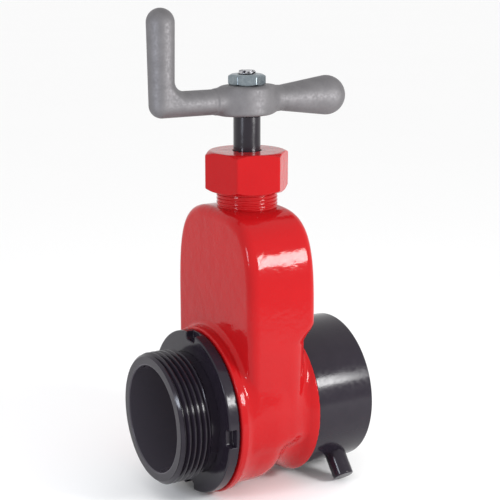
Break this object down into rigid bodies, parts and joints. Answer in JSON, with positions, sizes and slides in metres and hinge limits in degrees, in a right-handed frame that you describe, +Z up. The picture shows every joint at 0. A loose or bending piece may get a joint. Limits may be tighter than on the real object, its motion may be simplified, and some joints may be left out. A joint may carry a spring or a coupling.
{
  "type": "hydrant gate valve",
  "caption": "Hand-cranked gate valve for a fire hydrant: arched casting, male hose outlet, swivel hose inlet with lugs, rising gate inside, L-shaped speed crank on top.",
  "frame": {"origin": "centre of the swivel inlet's open end face, on the waterway's axis", "axes": "+X along the waterway, out of the swivel's mouth; the male outlet points to -X; +Z up the valve stem"},
  "size_m": [0.1309, 0.1, 0.2872],
  "materials": {
    "red_enamel": "gloss",
    "black_coat": "satin",
    "black_stem": "gloss",
    "cast_aluminium": "satin",
    "zinc_plate": "satin",
    "bronze": "satin",
    "steel_ball": "polished",
    "gasket_rubber": "matte",
    "packing_yarn": "matte"
  },
  "bodies": {
    "valve": {"valve_body": "red_enamel", "seat_ring_outlet": "bronze", "seat_ring_inlet": "bronze", "outlet_adapter": "black_coat", "inlet_adapter": "black_coat", "swivel_balls": "steel_ball", "packing": "packing_yarn", "packing_gland": "bronze", "packing_nut": "red_enamel"},
    "swivel": {"swivel_ring": "black_coat", "swivel_lug_front": "black_coat", "swivel_lug_back": "black_coat", "swivel_gasket": "gasket_rubber", "ball_plug": "black_coat"},
    "crank": {"stem": "black_stem", "crank_handle": "cast_aluminium", "handle_nut": "zinc_plate"},
    "gate": {"gate": "bronze", "gate_nut": "bronze"}
  },
  "joints": [
    {"name": "swivel_turn", "type": "hinge", "parent": "valve", "child": "swivel", "pos_m": [0, 0, 0], "axis": [1, 0, 0], "continuous": true},
    {"name": "crank_turn", "type": "hinge", "parent": "valve", "child": "crank", "pos_m": [-0.062, 0, 0], "axis": [0, 0, 1], "range_deg": [0, 3780]},
    {"name": "gate_lift", "type": "slide", "parent": "valve", "child": "gate", "axis": [0, 0, 1], "range_m": [0, 0.06667]}
  ],
  "couplings": [
    {"joint": "gate_lift", "follows": "crank_turn", "m_per_rad": 0.0010106}
  ]
}
